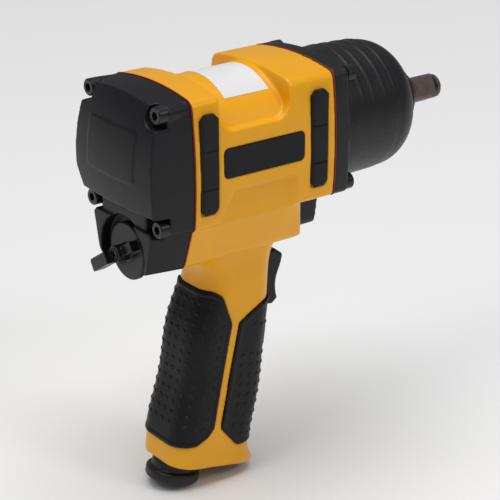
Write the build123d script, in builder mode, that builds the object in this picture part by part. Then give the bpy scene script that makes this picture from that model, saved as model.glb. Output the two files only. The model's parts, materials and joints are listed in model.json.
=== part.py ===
"""Pneumatic pistol impact wrench, 1/2 inch square drive, built as its separate bench pieces.

Frame: millimetres, +Z up, +X forward along the drive axis, +Y to the operator's left.
The origin is the centre of the square drive's front end face.
"""
from build123d import *
from math import cos, radians, sin
import os

os.makedirs("parts", exist_ok=True)

# ---- driving dimensions -------------------------------------------------------------
# stations along the drive axis
NOSE_FRONT = -23.5
DOME_FRONT = -35.3
FLANGE_FRONT = -87.5
FRONT_JOINT = -97.0
REAR_JOINT = -181.0
COVER_SEAT = -194.5
COVER_REAR = -207.0
GASKET = 0.6
FLANGE_REAR = FRONT_JOINT + GASKET
COVER_FRONT = REAR_JOINT - GASKET

# square drive
DRIVE_AF = 12.7
DRIVE_TURN = -27.0
ROUND_END_R = 6.2
JOURNAL_R = 8.0
RUNNING_FIT = 0.05

# block section
BLOCK_TOP = 35.3
BLOCK_SIDE = 34.5
BLOCK_BOTTOM = -31.7
CHIN_TOP_Y = 31.5
CHIN_BOTTOM_Y = 23.4
CHIN_BOTTOM = -54.2
CHIN_FRONT = -107.0
SADDLE_R = 34.0
SADDLE_EDGE = 15.0
SADDLE_CORNER = 8.0
SADDLE_FRONT = -124.5
SADDLE_REAR = -165.6

# body screws, M5 socket head
SCREW_Y = 28.4
SCREW_TOP = 28.3
SCREW_BOTTOM = -27.6
SCREW_R = 2.5
HEAD_R = 4.25
HEAD_LENGTH = 5.0
SOCKET_R = 2.0
SOCKET_DEPTH = 2.8
BOSS_JOINT_R = 3.6
BOSS_FLARE = 3.3

# motor
BORE_R = 27.0
ROTOR_R = 19.0
VANE_R = 19.5
VANE_COUNT = 6
CYLINDER_R = 21.9
ECCENTRIC = 1.9
ROTOR_REAR = -167.6
ROTOR_FRONT = -118.4
SHAFT_R = 6.0
INNER_RACE_R = 8.2
OUTER_RACE_R = 11.8
BEARING_R = 14.0
BALL_R = 1.65
BALL_COUNT = 9

# hammer mechanism
CAVITY_R = 29.3
CAGE_R = 28.3
PIN_R = 3.4
PIN_Z = 22.6

# handle: a rake of 12 degrees; heights are measured up it from a datum just under the foot
RAKE = 12.0
FOOT_ORIGIN = (-173.2, 0, -171.9)
SOLE_RISE = 3.6
UP_HANDLE = Vector(sin(radians(RAKE)), 0, cos(radians(RAKE)))
FORWARD = Vector(cos(radians(RAKE)), 0, -sin(radians(RAKE)))
PASSAGE_R = 7.0
SEAT_BOTTOM = 66.4
SEAT_TOP = 69.4
ROD_HEIGHT = 103.4
CHAMBER_R = 6.5
CHAMBER_TOP = 109.0
NPT_R = 5.56

# trigger
TRIGGER_HALF = 8.0
POCKET_FLOOR = 25.5
ROD_R = 2.4

# grips stand a little proud of the handle and sit in a shallow recess
GRIP_PROUD = 0.7
GRIP_DEPTH = 1.7

# forward / reverse selector
SELECTOR_Z = -47.4
SELECTOR_R = 18.8
VALVE_R = 4.5
SLEEVE_R = 5.6

# joints and screws
CLEARANCE_R = 2.75
SCREW_REACH = 14.0
SEAT_R = 6.3
GASKET_INSET = -0.15
NOSE_R = 17.0
LIP_R = 8.7
LIP_REAR = -26.5
RIBS = ((-77.0, 34.15), (-70.3, 33.95), (-62.6, 33.75), (-55.6, 33.4))
RIB_RISE = 0.55
RIB_WIDTH = 1.2

# motor stack
STACK_REAR = -176.0
CYLINDER_REAR = -168.0
CYLINDER_FRONT = -118.0
STACK_FRONT = -110.0
SHAFT_REAR = -178.0
SHAFT_FRONT = -94.0
RACE_WIDTH = 5.4
DOWEL_R = 1.5
DOWEL_Z = 24.0
VANE_ROOT = 9.0
VANE_THICKNESS = 2.2
PILOT_R = 26.9
PILOT_BORE_R = 23.5
PILOT_REAR = -109.8
PILOT_FRONT = -94.0

# hammers
CAVITY_REAR = -94.2
CAVITY_FRONT = -51.0
BUSHING_OUTER_R = 10.5
CAGE_REAR = -93.2
CAGE_FRONT = -52.5
CAGE_PLATE = 4.0
CAGE_HUB_REAR = -101.0
HUB_OUTER_R = 10.0
STRUT_INNER = 22.3
HAMMER_LENGTH = 15.4
HAMMER_BORE_R = 17.4
REAR_HAMMER = CAGE_REAR + CAGE_PLATE + 0.5
FRONT_HAMMER = CAGE_FRONT - CAGE_PLATE - 0.5 - HAMMER_LENGTH
DOG_R = 14.3
JAW_R = 16.6
ANVIL_REAR = -88.8
ANVIL_BODY_R = 13.0
COLLAR_FRONT = -51.6
SHOULDER_REAR = -23.2
SHOULDER_FRONT = -17.0
GROOVE_REAR = -5.6
GROOVE_FRONT = -3.2
GROOVE_R = 3.9
RING_INNER_R = 4.8
RING_OUTER_R = 6.4

# heel of the hammer case
HEEL_HALF = 11.0
HEEL_TOP = -32.2
HEEL_BOTTOM = -55.0
HEEL_REAR = -106.7
HEEL_FRONT = -87.6
HEEL_SLOPE = 3.0

# rear cover and selector
COVER_TAPER = 4.5
CROWN_R = 264.0
COVER_LIP = -20.5
CHEEK_REAR = -200.8
SELECTOR_FLOOR = -195.0
BOSS_R = 13.5
WEB_HALF = 19.0
WEB_REAR = -199.4
COVER_HOLLOW_R = 24.5
COVER_HOLLOW_REAR = -199.0
FACET_Z = -22.5
FACET_HEIGHT = 11.0
PANEL_WIDTH = 39.0
PANEL_HEIGHT = 24.5
PANEL_Z = 6.2
PANEL_RISE = 0.35
SLEEVE_LENGTH = 22.0
PORT_X = -172.0
VALVE_FRONT = -161.0
VALVE_REAR = -197.3
DIAL_FRONT = -195.4
DIAL_R = 14.5
DIAL_THICKNESS = 3.0
HUB_R = 4.3
HUB_REAR = -205.5
BAR_REACH = 12.5
BAR_HEIGHT = 4.5
TAB_ANGLE = -33.0
TAB_REACH = 19.0
TAB_ROOT = 3.6
TAB_FRONT = -202.0
TAB_REAR = -208.6
LEVER_HEAD_R = 2.9
LEVER_SCREW_R = 1.5
LEVER_SCREW_LENGTH = 14.0
DETENT_RADIUS = 9.5
DETENT_R = 1.5
DETENT_DEPTH = 8.0

# handle passages
INLET_THREAD_R = 9.4
INLET_DEPTH = 12.0
SEAT_HOLE_R = 4.2
VALVE_HEAD_BOTTOM = 63.6
VALVE_HEAD_TOP = 66.1
VALVE_HEAD_R = 5.8
VALVE_STEM_R = 1.2
SPRING_TOP = 61.8
SCREEN_R = 5.9
SCREEN_TOP = 26.0
COLLAR_R = 14.0
COLLAR_BOTTOM = -7.0
COLLAR_HEIGHT = 5.6
NECK_R = 11.4
SEAL_THICKNESS = 0.8
SEAL_R = 11.4
DUCT_R = 3.8
EXHAUST_Y = 10.0
EXHAUST_R = 3.3
MUFFLER_X = 27.5
MUFFLER_LENGTH = 20.0
MUFFLER_HALF = 11.0
MUFFLER_TOP = 14.2
DEFLECTOR_LENGTH = 24.0
DEFLECTOR_HALF = 13.0
DEFLECTOR_DEPTH = 2.4
DEFLECTOR_SCREW_R = 1.9

# trigger
POCKET_WIDTH = 17.4
POCKET_HEIGHT = 33.0
POCKET_SHIFT = -1.6
TRIGGER_BACK = 30.8
ROD_FRONT = 37.0
ROD_REAR = 1.75
BUSHING_R = 4.6
BUSHING_REAR = 8.0

# side pads, nameplates and label
PAD_WIDTH = 10.3
PAD_HEIGHT = 49.7
PAD_Z = 0.5
PAD_X = {"rear": -172.8, "front": -106.8}
PAD_FLOOR = 32.6
PAD_FACE = 35.5
PAD_GROOVES = (8.0, -11.0)
PAD_GROOVE_WIDTH = 1.4
PAD_GROOVE_DEPTH = 1.0
PLATE_X = -140.4
PLATE_Z = -0.8
PLATE_LENGTH = 48.8
PLATE_HEIGHT = 15.4
PLATE_FLOOR = 33.7
PLATE_FACE = 34.6
LABEL_REAR = -154.8
LABEL_LENGTH = 26.2
LABEL_THICKNESS = 0.15
LABEL_ANGLES = (-38.5, -20, 0, 22)
FLANK_FACE = 31.0
COVE_FRONT = -117.5
FLANK_OUTLINE = [(-124.3, -15.3), (-158.5, -15.3), (-166.0, -31.4), (-166.0, -56.0), (-124.3, -56.0)]
BLOCK_LENGTH = FRONT_JOINT - REAR_JOINT
SADDLE_LENGTH = SADDLE_FRONT - SADDLE_REAR

FOOT = Plane(origin=FOOT_ORIGIN, x_dir=FORWARD, z_dir=UP_HANDLE)
SOLE = FOOT.offset(SOLE_RISE)
ROD_ORIGIN = Vector(*FOOT_ORIGIN) + UP_HANDLE * ROD_HEIGHT
ROD = Plane(origin=ROD_ORIGIN, x_dir=UP_HANDLE, z_dir=FORWARD)
SELECTOR = Plane(origin=(0, 0, SELECTOR_Z), x_dir=(0, 1, 0), z_dir=(1, 0, 0))

DETENT = Plane(origin=(0, 0, SELECTOR_Z + DETENT_RADIUS), x_dir=(0, 1, 0), z_dir=(1, 0, 0))
DUCT_START = Vector(*FOOT_ORIGIN) + UP_HANDLE * (CHAMBER_TOP - 4)
DUCT_END = Vector(REAR_JOINT + SLEEVE_LENGTH, 0, SELECTOR_Z)
DUCT_LENGTH = (DUCT_END - DUCT_START).length
DUCT = Plane(origin=DUCT_START, z_dir=DUCT_END - DUCT_START)
EXHAUST_START = Vector(-136, 0, -22)
EXHAUST_END = Vector(*FOOT_ORIGIN) + FORWARD * MUFFLER_X + UP_HANDLE * (MUFFLER_TOP - 2)
EXHAUST_LENGTH = (EXHAUST_END - EXHAUST_START).length
EXHAUST = Plane(origin=EXHAUST_START, x_dir=(0, 1, 0), z_dir=EXHAUST_END - EXHAUST_START)

BODY_SCREWS = [(side * SCREW_Y, z) for side in (-1, 1) for z in (SCREW_TOP, SCREW_BOTTOM)]
TOP_SCREWS = [(side * SCREW_Y, SCREW_TOP) for side in (-1, 1)]


# ---- shared shapes ------------------------------------------------------------------
def save(body, label):
    """Label a finished piece and write its STEP file."""
    body.label = label
    export_step(body, f"parts/{label}.step")


def about_drive(*points):
    """Half profile of (x, radius) points, to be revolved about the drive axis."""
    with BuildSketch(Plane.XZ) as half:
        with BuildLine():
            Polyline(*points, close=True)
        make_face()
    return half.sketch


def block_outline(x, shrink=0.0):
    """Outline of the square body: arched top, bowed sides, rounded corners."""
    top, side, bottom = BLOCK_TOP - shrink, BLOCK_SIDE - shrink, BLOCK_BOTTOM + shrink
    corner = (side - 2.9, top - 3.4)
    heel = (side - 1.3, bottom)
    with BuildSketch(Plane.YZ.offset(x)) as outline:
        with BuildLine():
            ThreePointArc((-corner[0], corner[1]), (0, top), corner)
            ThreePointArc(corner, (side, -4), heel)
            Line(heel, (-heel[0], heel[1]))
            ThreePointArc((-heel[0], heel[1]), (-side, -4), (-corner[0], corner[1]))
        make_face()
        fillet(outline.vertices().group_by(Axis.Y)[-1], 5)
        fillet(outline.vertices().group_by(Axis.Y)[0], 3)
    return outline.sketch


def chin_outline(x, top_y, bottom_y, bottom=CHIN_BOTTOM):
    """Tapered outline of the chin that hangs under the block."""
    with BuildSketch(Plane.YZ.offset(x)) as outline:
        with BuildLine():
            Polyline((-top_y, -31), (-bottom_y, bottom), (bottom_y, bottom), (top_y, -31), close=True)
        make_face()
        fillet(outline.vertices().group_by(Axis.Y)[0], 5.5)
    return outline.sketch


def cap_screws(name, seat, tip, positions, direction):
    """A set of socket cap screws whose heads stand on x = seat; direction is +1 for heads to +X."""
    with BuildPart() as screws:
        with BuildSketch(Plane.YZ.offset(seat)):
            with Locations(*positions):
                Circle(HEAD_R)
        extrude(amount=HEAD_LENGTH * direction)
        chamfer(screws.edges().group_by(Axis.X)[-1 if direction > 0 else 0], 0.5)
        with BuildSketch(Plane.YZ.offset(seat)):
            with Locations(*positions):
                Circle(SCREW_R - RUNNING_FIT)
        extrude(amount=tip - seat)
        with BuildSketch(Plane.YZ.offset(seat + HEAD_LENGTH * direction)):
            with Locations(*positions):
                RegularPolygon(radius=SOCKET_R, side_count=6, major_radius=False)
        extrude(amount=-SOCKET_DEPTH * direction, mode=Mode.SUBTRACT)
    save(screws.part, name)


# front x, rear x and half width of the handle at each height
HANDLE_LEVELS = [
    (-50.0, -109.0, -176.0, 22.0),
    (-57.0, -116.0, -165.0, 18.3),
    (-64.0, -118.2, -160.4, 17.5),
    (-76.0, -119.6, -161.2, 17.6),
    (-110.0, -124.2, -171.2, 18.5),
    (-147.0, -131.1, -180.1, 19.5),
    (-163.0, -134.0, -183.4, 19.3),
    (-173.0, -131.5, -185.6, 18.4),
    (-186.0, -126.0, -188.5, 16.0),
]
HANDLE_CORNER = 12.5


def handle_loft(grow):
    """Handle body through its level sections, grown outwards by an even amount."""
    sections = []
    for z, front, rear, half_width in HANDLE_LEVELS:
        with BuildSketch(Plane.XY.offset(z)) as section:
            with Locations(((front + rear) / 2, 0)):
                RectangleRounded(front - rear + 2 * grow, 2 * (half_width + grow), HANDLE_CORNER)
        sections.append(section.sketch)
    return loft(sections)


def side_region(points, radius):
    """Slab across the whole width, cut to a side-view outline with rounded corners."""
    with BuildPart() as slab:
        with BuildSketch(Plane.XZ) as outline:
            with BuildLine():
                Polyline(*points, close=True)
            make_face()
            fillet(outline.vertices(), radius)
        extrude(amount=40, both=True)
    return slab.part


REAR_GRIP_SIDE = [
    (-205, -76.5), (-157.5, -75.0), (-153.6, -77.6), (-148.8, -93), (-161.4, -147.5),
    (-165.5, -151.5), (-172.5, -154.3), (-205, -155.3),
]
FRONT_GRIP_SIDE = [
    (-95, -84.5), (-130, -86.5), (-144.0, -93.5), (-156.8, -149), (-146.8, -161.2), (-95, -165.5),
]
GRIP_WINDOW_TOP = -103.0
GRIP_WINDOW_BOTTOM = -110.5

rear_region = side_region(REAR_GRIP_SIDE, 1.6)
front_region = side_region(FRONT_GRIP_SIDE, 1.6)

handle_outer = handle_loft(GRIP_PROUD)
handle_body = handle_loft(0)
handle_core = handle_loft(-GRIP_DEPTH)

with BuildPart() as throat:
    with BuildSketch(ROD.offset(POCKET_FLOOR)):
        with Locations((POCKET_SHIFT, 0)):
            RectangleRounded(POCKET_HEIGHT, POCKET_WIDTH, 2)
    extrude(amount=16)

with BuildPart() as rear_blank:
    add(handle_outer)
    add(rear_region, mode=Mode.INTERSECT)
    add(handle_core, mode=Mode.SUBTRACT)

with BuildPart() as front_blank:
    add(handle_outer)
    add(front_region, mode=Mode.INTERSECT)
    add(handle_core, mode=Mode.SUBTRACT)
    # window of bare handle at the front of the grip
    with BuildSketch(Plane.YZ.offset(-140)):
        with Locations((0, (GRIP_WINDOW_TOP + GRIP_WINDOW_BOTTOM) / 2)):
            RectangleRounded(28, GRIP_WINDOW_TOP - GRIP_WINDOW_BOTTOM, 2)
    extrude(amount=40, mode=Mode.SUBTRACT)

# ---- motor housing ------------------------------------------------------------------
with BuildPart() as chin:
    extrude(chin_outline(REAR_JOINT, CHIN_TOP_Y, CHIN_BOTTOM_Y), amount=CHIN_FRONT - REAR_JOINT)
    with BuildSketch(Plane.XY.offset(-60)) as chin_plan:
        with Locations((CHIN_FRONT, 0)):
            Rectangle(100, 2 * CHIN_TOP_Y, align=(Align.MAX, Align.CENTER))
        fillet(chin_plan.vertices().group_by(Axis.X)[-1], 18)
    extrude(amount=40, mode=Mode.INTERSECT)
    with BuildSketch(Plane.XZ) as chin_side:
        with Locations((CHIN_FRONT, -20)):
            Rectangle(100, -20 - CHIN_BOTTOM, align=(Align.MAX, Align.MAX))
        fillet(chin_side.vertices().group_by(Axis.Y)[0].sort_by(Axis.X)[-1], 9)
    extrude(amount=50, both=True, mode=Mode.INTERSECT)

# saddle between the two blocks, round about the drive axis, with rounded ends in side view
with BuildPart() as saddle:
    with BuildSketch(Plane.YZ.offset(SADDLE_REAR)):
        with Locations((0, SADDLE_EDGE)):
            Rectangle(90, 60, align=(Align.CENTER, Align.MIN))
        Circle(SADDLE_R, mode=Mode.SUBTRACT)
    extrude(amount=SADDLE_LENGTH)
    with BuildSketch(Plane.XZ):
        with Locations(((SADDLE_REAR + SADDLE_FRONT) / 2, SADDLE_EDGE)):
            RectangleRounded(SADDLE_LENGTH, 70, SADDLE_CORNER, align=(Align.CENTER, Align.MIN))
    extrude(amount=50, both=True, mode=Mode.INTERSECT)

with BuildPart() as motor_housing:
    extrude(block_outline(REAR_JOINT), amount=BLOCK_LENGTH)
    add(saddle.part, mode=Mode.SUBTRACT)
    # lower flanks step in between the blocks
    for side in (1, -1):
        with BuildSketch(Plane.XZ.offset(side * FLANK_FACE)) as flank:
            with BuildLine():
                Polyline(*FLANK_OUTLINE, close=True)
            make_face()
            fillet(flank.vertices().group_by(Axis.Y)[-1], 3)
        extrude(amount=side * 10, mode=Mode.SUBTRACT)
        # their front end slopes out to the face of the front block
        with BuildSketch(Plane.XY.offset(FLANK_OUTLINE[0][1])):
            with BuildLine():
                Polyline((FLANK_OUTLINE[0][0] - 1, -side * FLANK_FACE), (FLANK_OUTLINE[0][0], -side * FLANK_FACE),
                         (COVE_FRONT, -side * (BLOCK_SIDE + 0.5)),
                         (FLANK_OUTLINE[0][0] - 1, -side * (BLOCK_SIDE + 0.5)), close=True)
            make_face()
        extrude(amount=FLANK_OUTLINE[-1][1] - FLANK_OUTLINE[0][1], mode=Mode.SUBTRACT)
    add(chin.part)
    add(handle_body)
    split(bisect_by=SOLE, keep=Keep.TOP)
    # sockets for the side bumpers and the nameplates
    for side in (1, -1):
        with BuildSketch(Plane.XZ.offset(side * PAD_FLOOR)):
            with Locations(*[(x, PAD_Z) for x in PAD_X.values()]):
                Rectangle(PAD_WIDTH, PAD_HEIGHT)
        extrude(amount=side * 5, mode=Mode.SUBTRACT)
        with BuildSketch(Plane.XZ.offset(side * PLATE_FLOOR)):
            with Locations((PLATE_X, PLATE_Z)):
                RectangleRounded(PLATE_LENGTH, PLATE_HEIGHT, 3)
        extrude(amount=side * 5, mode=Mode.SUBTRACT)
    # recesses for the moulded grips
    add(rear_blank.part, mode=Mode.SUBTRACT)
    add(front_blank.part, mode=Mode.SUBTRACT)
    # motor bore, reverse valve bore and the tapped holes of both joints
    with BuildSketch(Plane.YZ.offset(REAR_JOINT)):
        Circle(BORE_R)
    extrude(amount=BLOCK_LENGTH, mode=Mode.SUBTRACT)
    with BuildSketch(SELECTOR.offset(REAR_JOINT)):
        Circle(SLEEVE_R)
    extrude(amount=SLEEVE_LENGTH, mode=Mode.SUBTRACT)
    with BuildSketch(Plane.YZ.offset(REAR_JOINT)):
        with Locations(*BODY_SCREWS):
            Circle(SCREW_R)
    extrude(amount=SCREW_REACH, mode=Mode.SUBTRACT)
    with BuildSketch(Plane.YZ.offset(FRONT_JOINT)):
        with Locations(*BODY_SCREWS):
            Circle(SCREW_R)
    extrude(amount=-SCREW_REACH, mode=Mode.SUBTRACT)
    # ports from the reverse valve up to the motor
    with BuildSketch(Plane.XY.offset(SELECTOR_Z)):
        with Locations((PORT_X, 0)):
            SlotCenterToCenter(6, 3.6, rotation=90)
    extrude(amount=BORE_R, mode=Mode.SUBTRACT)
    # air passage up the back of the handle, with the valve chamber above it
    with BuildSketch(FOOT):
        Circle(INLET_THREAD_R)
    extrude(amount=INLET_DEPTH, mode=Mode.SUBTRACT)
    with BuildSketch(FOOT):
        Circle(PASSAGE_R)
    extrude(amount=SEAT_TOP, mode=Mode.SUBTRACT)
    with BuildSketch(FOOT.offset(SEAT_TOP)):
        Circle(CHAMBER_R)
    extrude(amount=CHAMBER_TOP - SEAT_TOP, mode=Mode.SUBTRACT)
    with BuildSketch(DUCT):
        Circle(DUCT_R)
    extrude(amount=DUCT_LENGTH, mode=Mode.SUBTRACT)
    # trigger pocket and the bore of its bushing
    with BuildSketch(ROD.offset(POCKET_FLOOR)):
        with Locations((POCKET_SHIFT, 0)):
            RectangleRounded(POCKET_HEIGHT, POCKET_WIDTH, 2)
    extrude(amount=16, mode=Mode.SUBTRACT)
    with BuildSketch(ROD):
        Circle(BUSHING_R)
    extrude(amount=POCKET_FLOOR, mode=Mode.SUBTRACT)
    # exhaust down both sides of the trigger into the silencer chamber in the foot
    with BuildSketch(EXHAUST):
        with Locations((EXHAUST_Y, 0), (-EXHAUST_Y, 0)):
            Circle(EXHAUST_R)
    extrude(amount=EXHAUST_LENGTH, mode=Mode.SUBTRACT)
    with BuildSketch(SOLE):
        with Locations((MUFFLER_X, 0)):
            RectangleRounded(MUFFLER_LENGTH, 2 * MUFFLER_HALF, 4)
    extrude(amount=MUFFLER_TOP, mode=Mode.SUBTRACT)
    with BuildSketch(SOLE):
        with Locations((MUFFLER_X, 0)):
            RectangleRounded(DEFLECTOR_LENGTH, 2 * DEFLECTOR_HALF, 5)
    extrude(amount=DEFLECTOR_DEPTH, mode=Mode.SUBTRACT)
    with BuildSketch(SOLE.offset(MUFFLER_TOP)):
        with Locations((MUFFLER_X, 0)):
            Circle(DEFLECTOR_SCREW_R)
    extrude(amount=8, mode=Mode.SUBTRACT)
save(motor_housing.part, "motor_housing")

# ---- grips, nameplates, bumpers and label -------------------------------------------
with BuildPart() as rear_grip:
    add(rear_blank.part)
    add(throat.part, mode=Mode.SUBTRACT)
save(rear_grip.part, "rear_grip")

with BuildPart() as front_grip:
    add(front_blank.part)
    add(throat.part, mode=Mode.SUBTRACT)
save(front_grip.part, "front_grip")

for side, side_name in ((1, "right"), (-1, "left")):
    for end, pad_x in PAD_X.items():
        with BuildPart() as bumper:
            with BuildSketch(Plane.XZ.offset(side * PAD_FLOOR)) as pad:
                with Locations((pad_x, PAD_Z)):
                    Rectangle(PAD_WIDTH, PAD_HEIGHT)
                chamfer(pad.vertices(), 2.6)
            extrude(amount=side * (PAD_FACE - PAD_FLOOR))
            chamfer(bumper.faces().sort_by(Axis.Y)[0 if side > 0 else -1].edges(), 1.1)
            # grooves across the pad, each with a sloping lower wall
            for groove_z in PAD_GROOVES:
                with BuildSketch(Plane.YZ.offset(pad_x - PAD_WIDTH)):
                    with BuildLine():
                        Polyline((-side * (PAD_FACE - PAD_GROOVE_DEPTH), groove_z),
                                 (-side * (PAD_FACE + 1), groove_z),
                                 (-side * (PAD_FACE + 1), groove_z - PAD_GROOVE_WIDTH),
                                 (-side * PAD_FACE, groove_z - PAD_GROOVE_WIDTH), close=True)
                    make_face()
                extrude(amount=2 * PAD_WIDTH, mode=Mode.SUBTRACT)
        save(bumper.part, f"bumper_{end}_{side_name}")
    with BuildPart() as nameplate:
        with BuildSketch(Plane.XZ.offset(side * PLATE_FLOOR)):
            with Locations((PLATE_X, PLATE_Z)):
                RectangleRounded(PLATE_LENGTH - 0.3, PLATE_HEIGHT - 0.3, 2.8)
        extrude(amount=side * (PLATE_FACE - PLATE_FLOOR))
        chamfer(nameplate.faces().sort_by(Axis.Y)[0 if side > 0 else -1].edges(), 0.3)
    save(nameplate.part, f"nameplate_{side_name}")

with BuildPart() as rating_label:
    with BuildSketch(Plane.YZ.offset(LABEL_REAR)):
        Circle(SADDLE_R + LABEL_THICKNESS)
        Circle(SADDLE_R, mode=Mode.SUBTRACT)
        with BuildLine():
            rays = [(50 * sin(radians(a)), 50 * cos(radians(a))) for a in LABEL_ANGLES]
            Polyline((0, 0), *rays, close=True)
        make_face(mode=Mode.INTERSECT)
    extrude(amount=LABEL_LENGTH)
save(rating_label.part, "rating_label")

# ---- gaskets ------------------------------------------------------------------------
with BuildPart() as front_gasket:
    extrude(block_outline(FRONT_JOINT, GASKET_INSET), amount=GASKET)
    with BuildSketch(Plane.YZ.offset(FRONT_JOINT)):
        Circle(BORE_R)
        with Locations(*BODY_SCREWS):
            Circle(CLEARANCE_R)
    extrude(amount=GASKET, mode=Mode.SUBTRACT)
save(front_gasket.part, "front_gasket")

with BuildPart() as rear_gasket:
    extrude(block_outline(COVER_FRONT, GASKET_INSET), amount=GASKET)
    extrude(chin_outline(COVER_FRONT, CHIN_TOP_Y, CHIN_BOTTOM_Y), amount=GASKET)
    with BuildSketch(Plane.YZ.offset(COVER_FRONT)):
        Circle(BORE_R)
        with Locations(*BODY_SCREWS):
            Circle(CLEARANCE_R)
        with Locations((0, SELECTOR_Z)):
            Circle(SLEEVE_R)
    extrude(amount=GASKET, mode=Mode.SUBTRACT)
save(rear_gasket.part, "rear_gasket")

# ---- hammer case --------------------------------------------------------------------
# heel that reaches back under the front block to the chin, with a sloping front
with BuildPart() as heel:
    with BuildSketch(Plane.YZ.offset(HEEL_REAR)) as heel_end:
        with Locations((0, HEEL_TOP)):
            Rectangle(2 * HEEL_HALF, HEEL_TOP - HEEL_BOTTOM, align=(Align.CENTER, Align.MAX))
        fillet(heel_end.vertices().group_by(Axis.Y)[0], 4)
    extrude(amount=HEEL_FRONT - HEEL_REAR)
    with BuildSketch(Plane.XZ):
        with BuildLine():
            Polyline((HEEL_REAR, HEEL_TOP), (HEEL_REAR, HEEL_BOTTOM), (HEEL_FRONT - HEEL_SLOPE, HEEL_BOTTOM),
                     (HEEL_FRONT, HEEL_TOP), close=True)
        make_face()
    extrude(amount=HEEL_HALF, both=True, mode=Mode.INTERSECT)

with BuildPart() as hammer_case:
    extrude(block_outline(FLANGE_REAR), amount=FLANGE_FRONT - FLANGE_REAR)
    chamfer(hammer_case.edges().group_by(Axis.X)[-1], 0.8)
    # bosses round the two top screws
    with BuildSketch(Plane.YZ.offset(FLANGE_REAR)):
        with Locations(*TOP_SCREWS):
            Circle(BOSS_JOINT_R)
    extrude(amount=FLANGE_FRONT - FLANGE_REAR, taper=-BOSS_FLARE)
    # bell, domed front and nose
    with BuildSketch(Plane.XZ):
        with BuildLine():
            Line((FLANGE_REAR, 0), (FLANGE_REAR, 34.4))
            Line((FLANGE_REAR, 34.4), (-82, 34.4))
            Line((-82, 34.4), (-57, 33.7))
            Line((-57, 33.7), (-53, 33.2))
            ThreePointArc((-53, 33.2), (-40.2, 27.9), (DOME_FRONT, 18.6))
            Line((DOME_FRONT, 18.6), (-34, NOSE_R))
            Line((-34, NOSE_R), (-30, NOSE_R))
            ThreePointArc((-30, NOSE_R), (-29.1, NOSE_R - 0.4), (-28.7, NOSE_R - 1.3))
            Line((-28.7, NOSE_R - 1.3), (NOSE_FRONT - 0.6, 11.8))
            Line((NOSE_FRONT - 0.6, 11.8), (NOSE_FRONT, 11.0))
            Line((NOSE_FRONT, 11.0), (NOSE_FRONT, 0))
            Line((NOSE_FRONT, 0), (FLANGE_REAR, 0))
        make_face()
    revolve(axis=Axis.X)
    # four low cast ribs over the top of the bell; set up a little, so that they fade at the sides
    for rib_x, rib_r in RIBS:
        with BuildSketch(Plane.YZ.offset(rib_x)):
            with Locations((0, RIB_RISE)):
                Circle(rib_r)
        extrude(amount=RIB_WIDTH)
    add(heel.part)
    with BuildSketch(Plane.YZ.offset(FLANGE_REAR)):
        with Locations((0, HEEL_TOP)):
            Rectangle(2 * HEEL_HALF, 12, align=(Align.CENTER, Align.MIN))
    extrude(amount=HEEL_FRONT - FLANGE_REAR)
    # pilot that holds the motor stack, then the hollow for hammers, bushing and anvil
    revolve(about_drive((PILOT_REAR, 20), (PILOT_REAR, PILOT_R), (FLANGE_REAR, PILOT_R), (FLANGE_REAR, 20)),
            axis=Axis.X)
    revolve(about_drive((PILOT_REAR, 0), (PILOT_REAR, PILOT_BORE_R), (PILOT_FRONT, PILOT_BORE_R),
                        (PILOT_FRONT, 0)), axis=Axis.X, mode=Mode.SUBTRACT)
    revolve(about_drive((CAVITY_REAR, 0), (CAVITY_REAR, CAVITY_R), (CAVITY_FRONT, CAVITY_R),
                        (CAVITY_FRONT, BUSHING_OUTER_R), (LIP_REAR, BUSHING_OUTER_R), (LIP_REAR, LIP_R),
                        (NOSE_FRONT, LIP_R), (NOSE_FRONT, 0)),
            axis=Axis.X, mode=Mode.SUBTRACT)
    with BuildSketch(Plane.YZ.offset(FLANGE_REAR)):
        with Locations(*BODY_SCREWS):
            Circle(CLEARANCE_R)
    extrude(amount=FLANGE_FRONT - FLANGE_REAR, mode=Mode.SUBTRACT)
    with BuildSketch(Plane.YZ.offset(FLANGE_FRONT)):
        with Locations(*BODY_SCREWS):
            Circle(HEAD_R + 0.6)
    extrude(amount=HEAD_LENGTH + 1, mode=Mode.SUBTRACT)
save(hammer_case.part, "hammer_case")

cap_screws("hammer_case_screws", FLANGE_FRONT, FRONT_JOINT - SCREW_REACH + 1, BODY_SCREWS, 1)

with BuildPart() as anvil_bushing:
    revolve(about_drive((CAVITY_FRONT, JOURNAL_R + RUNNING_FIT), (CAVITY_FRONT, BUSHING_OUTER_R),
                        (LIP_REAR, BUSHING_OUTER_R), (LIP_REAR, JOURNAL_R + RUNNING_FIT)),
            axis=Axis.X)
save(anvil_bushing.part, "anvil_bushing")

# ---- rear cover ---------------------------------------------------------------------
# crowned back: a side arc swept gently round a far upright axis, with a ledge under the lip
with BuildPart() as crown:
    with BuildSketch(Plane.XZ):
        with BuildLine():
            ThreePointArc((-197.5, 37), (COVER_REAR, 2), (-205.6, COVER_LIP))
            Line((-205.6, COVER_LIP), (-205.6, -40))
            Line((-205.6, -40), (-170, -40))
            Line((-170, -40), (-170, 37))
            Line((-170, 37), (-197.5, 37))
        make_face()
    revolve(axis=Axis((COVER_REAR + CROWN_R, 0, 0), (0, 0, 1)), revolution_arc=10)
    mirror(about=Plane.XZ)
    with BuildSketch(Plane.XZ):
        with BuildLine():
            Polyline((-216, COVER_LIP + 1.5), (COVER_SEAT, COVER_LIP - 1.5), (COVER_SEAT, -45), (-216, -45),
                     close=True)
        make_face()
    extrude(amount=60, both=True, mode=Mode.SUBTRACT)

# low raised panel on the back, following the same crown
with BuildPart() as panel:
    with BuildSketch(Plane.YZ.offset(COVER_REAR + 4)):
        with Locations((0, PANEL_Z)):
            RectangleRounded(PANEL_WIDTH, PANEL_HEIGHT, 1.5)
    extrude(amount=-8)
    add(crown.part.moved(Location((-PANEL_RISE, 0, 0))), mode=Mode.INTERSECT)

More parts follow.
